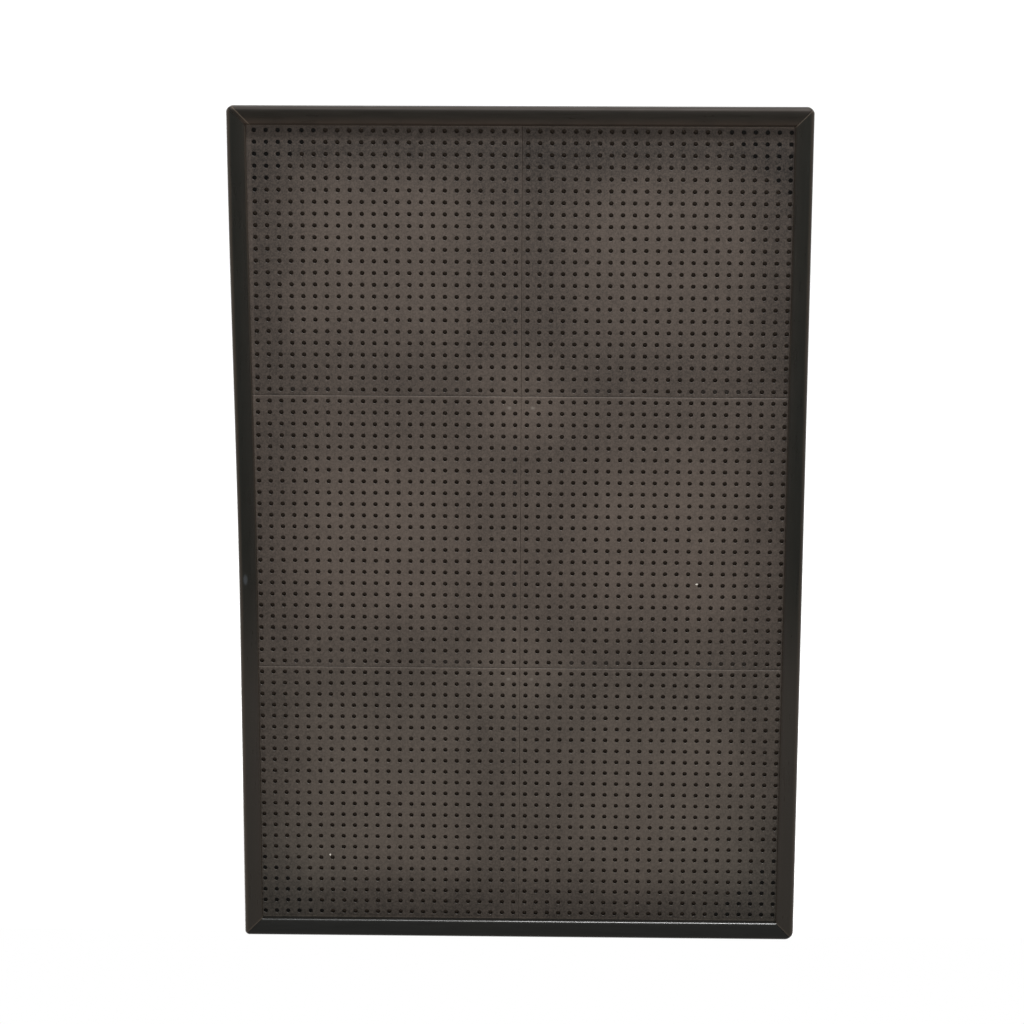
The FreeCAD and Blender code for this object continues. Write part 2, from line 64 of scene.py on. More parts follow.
COLUMNS = {LEFT: -1, RIGHT: 1}

# ---- sizes -----------------------------------------------------------------------------------------

HALF_WIDTH, HALF_HEIGHT = cad_high.x, cad_high.z
FRONT, BACK = cad_low.y, cad_high.y
FACE_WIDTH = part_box("rail_top")[1].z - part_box("rail_top")[0].z
TILE_FRONT, TILE_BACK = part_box("tile_middle_left")[0].y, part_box("tile_middle_left")[1].y
HALF_OPENING_X, HALF_OPENING_Z = HALF_WIDTH - FACE_WIDTH, HALF_HEIGHT - FACE_WIDTH

WALL = 5.0 * MM
OUTER_ROUND = 4.2 * MM
INNER_ROUND = 3.0 * MM
EASED_EDGE = 0.5 * MM
MITRE_GAP = 0.2 * MM
CORNER_RADII = {
    (LEFT, TOP): 5.7 * MM,
    (RIGHT, TOP): 6.4 * MM,
    (LEFT, BOTTOM): 5.0 * MM,
    (RIGHT, BOTTOM): 9.5 * MM,
}

# The old wood has moved a little: the left rail bows out towards the top, the right one sits in, and
# the top rail dips towards the left.
BOW_OUT, BOW_IN = 4.2 * MM, 1.3 * MM
BOW_START, BOW_END = -0.25 * HALF_HEIGHT, HALF_HEIGHT
RIGHT_IN = 1.0 * MM
TOP_DIP, TOP_DIP_LEFT = 1.0 * MM, 0.6 * MM

PITCH = 12.7 * MM
HOLES = 24
TILE = HOLES * PITCH
HOLE_RADIUS = 2.38 * MM
HOLE_CHAMFER = 0.25 * MM
HOLE_SIDES = 24
PLATE = 2.8 * MM
PLATE_BACK = TILE_FRONT + PLATE
PLATE_ROUND = 0.5 * MM
SEAM_GAP = 0.2 * MM
TILE_HALF = (TILE - SEAM_GAP) / 2
RIB = 1.6 * MM
RING = 8 * PITCH
BOSS_RADIUS = 3.0 * MM
TONGUE = (72.0 * MM, 9.4 * MM)
TONGUE_OFFSET = 5.5 * PITCH
TONGUE_FRONT = PLATE_BACK + 0.3 * MM

SCREW_HEAD_RADIUS = 3.2 * MM
SCREW_HEAD_DEPTH = 1.6 * MM
SCREW_HEAD_BEVEL = 0.12 * MM
LONG_SHANK, SHORT_SHANK = 1.6 * MM, 1.1 * MM
SCREW_SIDES = 20
THREAD_PITCH = 1.3 * MM
# Radius at the root of the thread, as a share of the shank's.
THREAD_ROOT = 0.78
# Degrees from the cross recess of one screw to that of the next.
SCREW_TURN = 137.5
RECESS_REACH = 1.9 * MM
RECESS_WIDTH = 0.55 * MM
RECESS_DEPTH = 1.2 * MM
# Size of the recess across and up at its bottom, as shares of that at its top.
RECESS_TAPER = (0.35, 0.5)

# ---- mesh helpers ----------------------------------------------------------------------------------


def arc(centre_u, centre_v, radius, start, end, steps):
    """Points of an arc, with its angles in degrees."""
    angles = [math.radians(start + (end - start) * i / steps) for i in range(steps + 1)]
    return [(centre_u + radius * math.cos(a), centre_v + radius * math.sin(a)) for a in angles]


def ring_faces(count, rings):
    """Faces that join each ring of points to the next."""
    faces = []
    for ring in range(rings - 1):
        here, there = ring * count, (ring + 1) * count
        for i in range(count):
            after = (i + 1) % count
            faces.append((here + i, here + after, there + after, there + i))
    return faces


def join_meshes(meshes):
    """Points and faces of several meshes as one."""
    points, faces = [], []
    start = 0
    for more_points, more_faces in meshes:
        points.append(np.asarray(more_points, float))
        faces += [[start + i for i in face] for face in more_faces]
        start += len(more_points)
    return np.concatenate(points), faces


def box_mesh(low, high):
    """Points and faces of a box."""
    points = [(x, y, z) for x in (low[0], high[0]) for y in (low[1], high[1]) for z in (low[2], high[2])]
    faces = [(0, 1, 3, 2), (4, 6, 7, 5), (0, 4, 5, 1), (2, 3, 7, 6), (0, 2, 6, 4), (1, 5, 7, 3)]
    return points, faces


def turned_mesh(profile, sides):
    """A solid of revolution about y, from points of (radius, y) whose ends are closed by flat faces."""
    points = []
    for radius, y in profile:
        angles = [2 * math.pi * i / sides for i in range(sides)]
        points += [(radius * math.cos(a), y, radius * math.sin(a)) for a in angles]
    faces = ring_faces(sides, len(profile))
    last = (len(profile) - 1) * sides
    faces.append(tuple(range(sides)))
    faces.append(tuple(range(last, last + sides)))
    return points, faces


def weld(points, faces):
    """The same mesh with points at the same place joined."""
    grid = np.round(np.asarray(points) / (0.002 * MM)).astype(np.int64)
    _, first, index = np.unique(grid, axis=0, return_index=True, return_inverse=True)
    index = index.reshape(-1)
    return np.asarray(points)[first], [[int(index[i]) for i in face] for face in faces]


def new_mesh(name, points, faces):
    """A mesh whose faces all look outwards."""
    mesh = bpy.data.meshes.new(name)
    mesh.from_pydata([tuple(p) for p in points], [], faces)
    work = bmesh.new()
    work.from_mesh(mesh)
    bmesh.ops.recalc_face_normals(work, faces=work.faces)
    work.to_mesh(mesh)
    work.free()
    return mesh


def add_piece(name, mesh, material, node, sharp_angle=40):
    """A piece that stands for a CAD node, smooth but for edges sharper than an angle."""
    mesh.shade_smooth()
    mesh.set_sharp_from_angle(angle=math.radians(sharp_angle))
    mesh.materials.append(material)
    piece = bpy.data.objects.new(name, mesh)
    bpy.context.scene.collection.objects.link(piece)
    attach(piece, "root")
    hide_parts(node)
    return piece


def welded_copy(node):
    """The mesh of a CAD node, ready to edit, with the doubled points of its edges joined."""
    work = bmesh.new()
    work.from_mesh(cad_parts[node].data)
    bmesh.ops.remove_doubles(work, verts=work.verts, dist=0.001 * MM)
    return work


def solids_of(node):
    """The middle of the rear face and the length of each separate solid of a CAD node."""
    work = welded_copy(node)
    left = set(work.verts)
    found = []
    while left:
        group, edge = set(), {left.pop()}
        while edge:
            group |= edge
            edge = {e.other_vert(v) for v in edge for e in v.link_edges} - group
        left -= group
        low = Vector([min(v.co[i] for v in group) for i in range(3)])
        high = Vector([max(v.co[i] for v in group) for i in range(3)])
        middle = (low + high) / 2
        found.append((Vector((middle.x, high.y, middle.z)), high.y - low.y))
    work.free()
    return sorted(found, key=lambda solid: (round(solid[0].x, 4), round(solid[0].z, 4)))


# ---- material helpers ------------------------------------------------------------------------------


class Finish:
    """A material made from nodes, in the panel's own coordinates."""

    def __init__(self, name, metallic=0.0, specular=0.5):
        self.material = bpy.data.materials.new(name)
        self.material.use_nodes = True
        self.tree = self.material.node_tree
        self.shader = self.tree.nodes["Principled BSDF"]
        self.shader.inputs["Metallic"].default_value = metallic
        self.shader.inputs["Specular IOR Level"].default_value = specular
        self.place = self.add("ShaderNodeTexCoord").outputs["Object"]
        split = self.add("ShaderNodeSeparateXYZ", Vector=self.place)
        self.x, self.y, self.z = (split.outputs[axis] for axis in "XYZ")
        self.from_middle_x = self.maths("ABSOLUTE", self.x)
        self.from_middle_z = self.maths("ABSOLUTE", self.z)

    def add(self, kind, settings=None, **inputs):
        """A new node with its settings and inputs."""
        node = self.tree.nodes.new(kind)
        for name, value in (settings or {}).items():
            setattr(node, name, value)
        for name, value in inputs.items():
            self.put(node.inputs[name.replace("_", " ")], value)
        return node

    def put(self, socket, value):
        """Link a socket to another node's output, or set it to a number or a colour."""
        if isinstance(value, bpy.types.NodeSocket):
            self.tree.links.new(value, socket)
        elif hasattr(value, "__len__") and len(value) == 3 and socket.type == "RGBA":
            socket.default_value = (*value, 1)
        else:
            socket.default_value = value

    def maths(self, operation, *values):
        """The result of a Math node."""
        node = self.add("ShaderNodeMath", {"operation": operation})
        for socket, value in zip(node.inputs, values):
            self.put(socket, value)
        return node.outputs[0]

    def sum(self, *values):
        """Values added up."""
        total = values[0]
        for value in values[1:]:
            total = self.maths("ADD", total, value)
        return total

    def product(self, *values):
        """Values multiplied together."""
        total = values[0]
        for value in values[1:]:
            total = self.maths("MULTIPLY", total, value)
        return total

    def less(self, value, other):
        """A value less another."""
        return self.maths("SUBTRACT", value, other)

    def noise(self, size, detail=2.0, roughness=0.5, stretch=(1, 1, 1)):
        """Noise from 0 to 1 whose blobs are about size wide, longer by stretch along each axis."""
        scale = self.add("ShaderNodeVectorMath", {"operation": "DIVIDE"})
        self.put(scale.inputs[0], self.place)
        scale.inputs[1].default_value = [size * s for s in stretch]
        node = self.add(
            "ShaderNodeTexNoise", Vector=scale.outputs[0], Scale=1.0, Detail=detail, Roughness=roughness
        )
        return node.outputs[0]

    def fade(self, value, start, end, low=0.0, high=1.0):
        """A smooth change from low, at start and before, to high, at end and beyond."""
        node = self.add("ShaderNodeMapRange", {"interpolation_type": "SMOOTHSTEP"})
        names = ("Value", "From Min", "From Max", "To Min", "To Max")
        for name, number in zip(names, (value, start, end, low, high)):
            self.put(node.inputs[name], number)
        return node.outputs[0]

    def distance(self, x, z, width=1.0, height=1.0):
        """Distance in the plane of the panel from a point, as an oval of that width and height."""
        across = self.maths("DIVIDE", self.less(self.x, x), width)
        up = self.maths("DIVIDE", self.less(self.z, z), height)
        total = self.sum(self.maths("POWER", across, 2.0), self.maths("POWER", up, 2.0))
        return self.maths("SQRT", total)

    def blend(self, share, first, second):
        """The first colour with a share of the second."""
        node = self.add("ShaderNodeMix", {"data_type": "RGBA", "clamp_factor": True})
        self.put(node.inputs[0], share)
        self.put(node.inputs[6], first)
        self.put(node.inputs[7], second)
        return node.outputs[2]

    def brighten(self, colour, factor):
        """A colour multiplied by a number."""
        node = self.add("ShaderNodeVectorMath", {"operation": "SCALE"})
        self.put(node.inputs[0], colour)
        self.put(node.inputs["Scale"], factor)
        return node.outputs[0]

    def finish(self, colour, roughness, bump_height=None, bump_depth=0.02 * MM):
        """The material with its colour, roughness and bump."""
        self.put(self.shader.inputs["Base Color"], colour)
        self.put(self.shader.inputs["Roughness"], roughness)
        if bump_height is not None:
            bump = self.add("ShaderNodeBump", Strength=1.0, Distance=bump_depth, Height=bump_height)
            self.put(self.shader.inputs["Normal"], bump.outputs[0])
        return self.material


# ---- materials -------------------------------------------------------------------------------------

PLASTIC = (0.0610, 0.0477, 0.0388)
PLASTIC_GREEN = (0.0440, 0.0450, 0.0370)
DUST = (0.23, 0.21, 0.185)
CHIP = (0.62, 0.58, 0.52)
# The same black lacquer on each rail, with painted light and shade: palest on the top rail and darkest on
# the side rails.
LACQUER_AS_LIT = {
    TOP: (0.0095, 0.0080, 0.0062),
    LEFT: (0.0056, 0.0053, 0.0036),
    RIGHT: (0.0056, 0.0053, 0.0036),
    BOTTOM: (0.0072, 0.0071, 0.0062),
}
LACQUER_BROWN = (0.0240, 0.0165, 0.0120)
# Paler worn lacquer, also used for painted light on the lip and a painted reflection on the outer edge.
LACQUER_WORN_AND_LIT = (0.0520, 0.0400, 0.0300)
# Paler lacquer for the painted reflection low on the side rails.
LACQUER_PAINTED_REFLECTION = (0.0180, 0.0150, 0.0118)
BARE_WOOD = (0.105, 0.080, 0.058)
SCUFF = (0.030, 0.033, 0.036)
BLOCK_PAINT = (0.006, 0.0055, 0.005)
HARDBOARD = (0.205, 0.118, 0.064)
HARDBOARD_FRONT = (0.032, 0.024, 0.018)
HARDBOARD_SHREDS = (0.09, 0.055, 0.032)
ZINC = (0.55, 0.56, 0.57)
STEEL = (0.46, 0.44, 0.40)

# Pale marks over the corner bosses of the tiles: column, row, side, level and strength of each.
BOSS_MARKS = (
    (LEFT, MIDDLE, RIGHT, TOP, 0.30),
    (RIGHT, MIDDLE, LEFT, TOP, 0.30),
    (LEFT, BOTTOM, RIGHT, TOP, 0.26),
    (RIGHT, BOTTOM, LEFT, TOP, 0.18),
    (LEFT, MIDDLE, RIGHT, BOTTOM, 0.10),
)
# Specks of lint at the rims of two holes: x, z and about half the width and height, in pitches.
LINT = ((15.28, -4.38, 0.14, 0.07), (-16.70, -29.24, 0.07, 0.09))
# A smear on the left rail, in the same terms.
SMEAR = (-23.75, -4.1, 0.30, 0.75)

# Tone of each tile, as a share of the plastic's colour before the changes across it.
BASE_TONE = 0.73
TONES = {
    (TOP, LEFT): 0.98,
    (TOP, RIGHT): 0.93,
    (MIDDLE, LEFT): 1.08,
    (MIDDLE, RIGHT): 1.07,
    (BOTTOM, LEFT): 1.09,
    (BOTTOM, RIGHT): 1.12,
}
# Mottling of the plastic: size of the blobs, detail, roughness and depth.
MOTTLES = (
    (55 * MM, 2.0, 0.5, 0.05),
    (6 * MM, 3.0, 0.5, 0.05),
    (1.6 * MM, 3.0, 0.7, 0.24),
    (0.5 * MM, 1.0, 0.5, 0.08),
)
# Spacing of the press screen's mark on the hardboard.
SCREEN_PITCH = 1.6 * MM
# Where the sawn edge of a corner block lies: its distances from the tiles' side and end, added up.
SAWN_EDGE = 104 * MM
# Strength of each rail's painted brown reflection towards the opening, and of its paler outer edge: rubbed
# lacquer with a painted reflection on the rounded edge.
INNER_BROWN_REFLECTION = {TOP: 0.75, LEFT: 0.15, RIGHT: 0.15, BOTTOM: 0.0}
RUBBED_AND_SHEEN = {TOP: 0.55, LEFT: 0.8, RIGHT: 0.5, BOTTOM: 0.15}


def tile_tones_with_painted_light(finish, row, column):
    """How light the plastic of a tile is from place to place, with painted light and shade laid over its
    tones.
    """
    middle_x, middle_z = COLUMNS[column] * TILE / 2, ROWS[row] * TILE
    across = finish.maths("ABSOLUTE", finish.less(finish.x, middle_x))
    up = finish.maths("ABSOLUTE", finish.less(finish.z, middle_z))
    below_edge = finish.less(middle_z + TILE / 2, finish.z)
    from_side = finish.less(HALF_OPENING_X, finish.from_middle_x)
    from_end = finish.less(HALF_OPENING_Z, finish.from_middle_z)
    from_frame = finish.maths("MINIMUM", from_side, from_end)
    painted_sheen = finish.product(
        finish.fade(across, TILE / 2, 0.12 * TILE), finish.fade(up, TILE / 2, 0.16 * TILE)
    )
    crossing_sheen = [
        finish.fade(finish.distance(0, i * TILE / 2, 0.30, 0.26), TILE, 0.1 * TILE) for i in (-1, 1)
    ]
    top_row = HALF_OPENING_Z - 0.6 * PITCH
    # Strength of the painted sheen along the middle seam and of the painted highlight under a tile's upper
    # edge.
    seam_sheen, edge_highlight = (0.04, 0.0) if row == TOP else (0.11, 0.28)
    mottles = [
        finish.fade(finish.noise(size, detail, roughness), 0.3, 0.7, -depth, depth)
        for size, detail, roughness, depth in MOTTLES
    ]
    return finish.sum(
        TONES[row, column] * BASE_TONE,
        # Painted sheen: lighter in the middle of the tile and where the seams cross.
        finish.product(painted_sheen, 0.29),
        finish.product(finish.sum(*crossing_sheen), 0.22),
        # Painted shade: darker towards the frame, as the lip shades the tile, but for a narrow painted pale
        # line beside it.
        finish.fade(from_frame, 1.0 * PITCH, 5.0 * PITCH, -0.12, 0.0),
        finish.fade(from_frame, 2.2 * MM, 0.6 * MM, 0.0, 0.20),
        # Painted shade: darker towards the top and bottom of the panel, but for painted light on its first
        # rows and on the strip under the top lip.
        finish.fade(finish.z, HALF_HEIGHT - 10 * PITCH, HALF_HEIGHT - 3.5 * PITCH, 0.0, -0.19),
        finish.fade(finish.z, top_row - 1.8 * PITCH, top_row, 0.0, 0.19),
        finish.fade(finish.z, HALF_OPENING_Z - 3.6 * MM, HALF_OPENING_Z - 1.8 * MM, 0.0, 0.35),
        finish.fade(finish.z, 0.0, 110 * MM, 0.0, -0.06),
        finish.fade(finish.z, -360 * MM, -HALF_HEIGHT, 0.0, -0.28),
        # Painted highlights: lighter along the seams and at a tile's upper edge, where the light catches
        # its rounded edge.
        finish.fade(up, TILE / 2 - 4 * PITCH, TILE / 2 - PITCH, 0.0, 0.05),
        finish.fade(finish.from_middle_x, 4.0 * PITCH, 0.0, 0.0, seam_sheen),
        finish.fade(finish.from_middle_x, 1.3 * MM, 0.4 * MM, 0.0, 0.15),
        finish.fade(below_edge, 2.4 * MM, 0.5 * MM, 0.0, edge_highlight),
        *mottles,
    )


def add_marks(finish, colour, row, column):
    """The colour of a tile with its pale boss marks and the specks of lint."""
    middle_x, middle_z = COLUMNS[column] * TILE / 2, ROWS[row] * TILE
    reach = TILE / 2 - PITCH
    for mark_column, mark_row, side, level, strength in BOSS_MARKS:
        if (mark_column, mark_row) == (column, row):
            boss_x, boss_z = middle_x + COLUMNS[side] * reach, middle_z + ROWS[level] * reach
            spot = finish.distance(boss_x, boss_z, 1.3, 1.0)
            colour = finish.blend(finish.fade(spot, 2.6 * MM, 0.4 * MM, 0.0, strength), colour, DUST)
    for x, z, width, height in LINT:
        speck = finish.distance(x * PITCH, z * PITCH, width, height)
        colour = finish.blend(finish.fade(speck, 1.2 * PITCH, 0.7 * PITCH, 0.0, 0.75), colour, CHIP)
    return colour


def tile_plastic(row, column):
    """Dark brown moulded plastic, mottled and a little dusty, with painted shade inside its holes."""
    finish = Finish(f"plastic_{row}_{column}", specular=0.22)
    low_corner = finish.product(
        finish.fade(finish.z, -250 * MM, -440 * MM), finish.fade(finish.from_middle_x, 120 * MM, 290 * MM)
    )
    green = finish.sum(
        finish.fade(finish.z, -50 * MM, -200 * MM, 0.0, 0.15), finish.product(low_corner, 0.25)
    )
    tones = tile_tones_with_painted_light(finish, row, column)
    colour = finish.brighten(finish.blend(green, PLASTIC, PLASTIC_GREEN), tones)
    patches = finish.fade(finish.noise(40 * MM, 2.0), 0.42, 0.7)
    dust = finish.product(finish.fade(finish.noise(0.9 * MM, 1.0), 0.70, 0.80), patches, 0.5)
    colour = finish.blend(dust, colour, DUST)
    # Painted shade: the hole walls are darkened.
    shade_in_holes = finish.fade(finish.y, TILE_FRONT + 0.15 * MM, TILE_FRONT + 0.6 * MM, 1.0, 0.35)
    colour = add_marks(finish, finish.brighten(colour, shade_in_holes), row, column)
    rough = finish.fade(finish.noise(9 * MM, 3.0), 0.3, 0.7, 0.46, 0.58)
    height = finish.sum(finish.product(finish.noise(0.45 * MM, 2.0), 0.5), finish.noise(2.2 * MM, 2.0))
    return finish.finish(colour, rough, height, 0.05 * MM)


def from_outer_edge(finish, side):
    """Distance from the outer edge of a rail, moved as the old wood has moved."""
    level = side in (TOP, BOTTOM)
    half, from_middle = (HALF_HEIGHT, finish.from_middle_z) if level else (HALF_WIDTH, finish.from_middle_x)
    if side == LEFT:
        moved_out = finish.fade(finish.z, BOW_START, BOW_END, -BOW_IN, BOW_OUT)
    else:
        moved_out = {TOP: -TOP_DIP, RIGHT: -RIGHT_IN, BOTTOM: 0.0}[side]
    return finish.sum(finish.less(half, from_middle), moved_out)


def mitre_wear(finish):
    """How far the lacquer is worn off along the mitres: a ragged line, stronger in the upper half."""
    from_side = finish.less(HALF_WIDTH, finish.from_middle_x)
    from_end = finish.less(HALF_HEIGHT, finish.from_middle_z)
    off_mitre = finish.maths("ABSOLUTE", finish.less(from_side, from_end))
    ragged = finish.sum(off_mitre, finish.product(finish.noise(3 * MM, 3.0), 0.5 * MM))
    line = finish.fade(ragged, 1.25 * MM, 0.45 * MM)
    return finish.product(line, finish.fade(finish.z, -100 * MM, 100 * MM, 0.30, 0.45))


def rail_lacquer(side):
    """Black lacquer on wood, worn at the mitres and rubbed along the outer edge, with a painted brown
    reflection towards the opening, painted light on the lip and a painted reflection on the outer edge.
    """
    finish = Finish(f"lacquer_{side}", specular=0.12 if side == TOP else 0.32)
    level = side in (TOP, BOTTOM)
    inset = from_outer_edge(finish, side)
    streaks = finish.noise(3 * MM, 4.0, 0.6, (14, 1, 1) if level else (1, 1, 14))
    blots = finish.noise(30 * MM, 3.0)

    colour = finish.brighten(LACQUER_AS_LIT[side], finish.fade(streaks, 0.25, 0.75, 0.88, 1.12))
    # Painted reflection: the side rails are paler towards the bottom.
    if not level:
        colour = finish.blend(finish.fade(finish.z, -20 * MM, -220 * MM), colour, LACQUER_PAINTED_REFLECTION)
    # Painted reflection: brown towards the opening, blotchy.
    inner_brown_reflection = finish.fade(inset, 9 * MM, FACE_WIDTH, 0.0, INNER_BROWN_REFLECTION[side])
    inner_brown_reflection = finish.product(inner_brown_reflection, finish.fade(blots, 0.3, 0.65, 0.7, 1.1))
    colour = finish.blend(inner_brown_reflection, colour, LACQUER_BROWN)
    # Painted light: a paler band on the lip's inner edge and wall, against the shade there.
    if side != BOTTOM:
        lit_lip = finish.fade(inset, FACE_WIDTH - 1.5 * MM, FACE_WIDTH + 0.5 * MM, 0.0, 0.6)
        colour = finish.blend(lit_lip, colour, LACQUER_WORN_AND_LIT)
    # Paler along the outer edge: rubbed lacquer with a painted reflection on the rounded edge.
    ragged = finish.sum(inset, finish.product(blots, 1.5 * MM))
    edge = finish.fade(ragged, 6.0 * MM, 1.5 * MM)
    front_and_back = finish.sum(
        finish.fade(finish.y, FRONT + 5 * MM, FRONT + 9 * MM, 1.0, 0.2),
        finish.fade(finish.y, BACK - 2 * MM, BACK - 0.5 * MM, 0.0, 0.5),
    )
    rubbed_and_sheen = finish.product(edge, front_and_back, RUBBED_AND_SHEEN[side])
    colour = finish.blend(rubbed_and_sheen, colour, LACQUER_BROWN if side == TOP else LACQUER_WORN_AND_LIT)
    colour = finish.blend(mitre_wear(finish), colour, BARE_WOOD)
    flecks = finish.fade(finish.noise(0.8 * MM, 1.0), 0.76, 0.82)
    colour = finish.blend(finish.product(flecks, 0.25), colour, DUST)
    if side == LEFT:
        x, z, width, height = SMEAR
        smear = finish.distance(x * PITCH, z * PITCH, width, height)
        ragged = finish.sum(smear, finish.product(streaks, 0.5 * PITCH))
        scuff = finish.fade(ragged, 1.15 * PITCH, 0.6 * PITCH, 0.0, 0.8)
        colour = finish.blend(scuff, colour, SCUFF)

    rough = finish.fade(finish.sum(streaks, finish.product(blots, 0.6)), 0.5, 1.1, 0.26, 0.36)
    if side == TOP:
        rough = finish.sum(rough, finish.fade(inset, 7 * MM, 4 * MM, 0.0, 0.30))
    height = finish.sum(streaks, finish.product(finish.noise(1.2 * MM, 2.0), 0.4))
    return finish.finish(colour, rough, height, 0.05 * MM)


def block_paint():
    """Rough black paint on the corner blocks, with the raw wood of their long sawn edge."""
    finish = Finish("block_paint", specular=0.3)
    across, up = finish.less(TILE, finish.from_middle_x), finish.less(1.5 * TILE, finish.from_middle_z)
    from_corner = finish.sum(across, up)
    fibres = finish.noise(2 * MM, 4.0, 0.6, (1, 1, 8))
    paint = finish.brighten(BLOCK_PAINT, finish.fade(fibres, 0.3, 0.7, 0.8, 1.3))
    wood = finish.brighten(BARE_WOOD, finish.fade(fibres, 0.3, 0.7, 0.8, 1.2))
    colour = finish.blend(finish.fade(from_corner, SAWN_EDGE, SAWN_EDGE + 2 * MM), paint, wood)
    return finish.finish(colour, 0.75, fibres, 0.1 * MM)


def hardboard():
    """Pressed brown fibreboard, darkened in front and with the mark of the press screen behind."""
    finish = Finish("hardboard", specular=0.25)
    normal = finish.add("ShaderNodeNewGeometry").outputs["Normal"]
    facing = finish.add("ShaderNodeSeparateXYZ", Vector=normal).outputs["Y"]
    front = finish.fade(facing, -0.3, -0.6)
    fibres = finish.noise(1.8 * MM, 5.0, 0.75, (2.5, 1, 1))
    stains = finish.noise(140 * MM, 3.0, 0.55)
    wave = 2 * math.pi / SCREEN_PITCH
    screen = finish.product(
        finish.maths("SINE", finish.product(finish.x, wave)),
        finish.maths("SINE", finish.product(finish.z, wave)),
    )
    tones = finish.sum(
        1.0,
        finish.fade(fibres, 0.25, 0.75, -0.22, 0.22),
        finish.fade(stains, 0.3, 0.7, -0.09, 0.08),
        finish.product(screen, 0.10),
    )
    colour = finish.brighten(finish.blend(front, HARDBOARD, HARDBOARD_FRONT), tones)
    shreds = finish.fade(finish.noise(0.7 * MM, 2.0, 0.6, (4, 1, 1)), 0.70, 0.78)
    colour = finish.blend(finish.product(shreds, 0.35), colour, HARDBOARD_SHREDS)
    return finish.finish(colour, 0.78, finish.sum(fibres, finish.product(screen, 0.5)), 0.12 * MM)


def bare_metal(name, tint, roughness, spangle):
    """Plated sheet or screw steel with faint crystals, small scratches and dulled patches."""
    finish = Finish(name, metallic=1.0)
    cells = finish.add("ShaderNodeTexVoronoi", Vector=finish.place, Scale=1 / spangle)
    crystals = finish.add("ShaderNodeSeparateXYZ", Vector=cells.outputs["Color"]).outputs[0]
    dull = finish.noise(7 * MM, 4.0, 0.6)
    scratches = finish.noise(0.5 * MM, 2.0, 0.5, (20, 1, 1))
    tones = finish.sum(
        finish.fade(crystals, 0.0, 1.0, 0.86, 1.04), finish.fade(dull, 0.3, 0.7, -0.16, 0.05)
    )
    rough = finish.sum(
        roughness, finish.fade(dull, 0.3, 0.7, 0.12, -0.06), finish.fade(scratches, 0.3, 0.7, -0.04, 0.06)
    )
    return finish.finish(finish.brighten(tint, tones), rough, scratches, 0.02 * MM)


# ---- frame rails -----------------------------------------------------------------------------------

ROUND_STEPS = 8
EASED_STEPS = 3
CORNER_STEPS = 12
LENGTH_STEPS = 40
# Quarter turns from the bottom rail, and the corners at the two ends of its length.
RAILS = {BOTTOM: (0, LEFT, RIGHT), RIGHT: (1, BOTTOM, TOP), TOP: (2, RIGHT, LEFT), LEFT: (3, TOP, BOTTOM)}


def rail_section():
    """The L-section of a rail: points of (inset from the outer edge, y), round stretches as arcs."""
    edge = EASED_EDGE
    inner = FACE_WIDTH - INNER_ROUND
    section = arc(edge, BACK - edge, edge, 90, 180, EASED_STEPS)
    section += arc(OUTER_ROUND, FRONT + OUTER_ROUND, OUTER_ROUND, 180, 270, ROUND_STEPS)
    section += arc(inner, FRONT + INNER_ROUND, INNER_ROUND, 270, 360, ROUND_STEPS)
    section += arc(FACE_WIDTH - edge, TILE_FRONT - edge, edge, 0, 90, EASED_STEPS)
    section.append((WALL, TILE_FRONT))
    section += arc(WALL - edge, BACK - edge, edge, 0, 90, EASED_STEPS)
    return section


def rail_end(inset, radius):
    """Points of (distance from the rail's end, inset) from the straight part to the mitre."""
    gap = MITRE_GAP / math.sqrt(2)
    points = []
    for i in range(CORNER_STEPS + 1):
        share = i / CORNER_STEPS
        if inset <= OUTER_ROUND:
            turn = math.radians(45) * share
            short = radius - (radius - inset) * math.sin(turn)
            points.append((short + gap * share, radius - (radius - inset) * math.cos(turn)))
        else:
            points.append((inset + gap + radius * (1 - share), inset))
    return points


def moved_by_age(x, z):
    """A point of the frame after the wood has bowed and sagged."""
    left, right = max(-x / HALF_WIDTH, 0), max(x / HALF_WIDTH, 0)
    share = min(max((z - BOW_START) / (BOW_END - BOW_START), 0), 1)
    bow = share * share * (3 - 2 * share) * (BOW_OUT + BOW_IN) - BOW_IN
    dip = max(z / HALF_HEIGHT, 0) * (TOP_DIP - TOP_DIP_LEFT * x / HALF_WIDTH)
    return x - left * bow - right * RIGHT_IN, z - dip


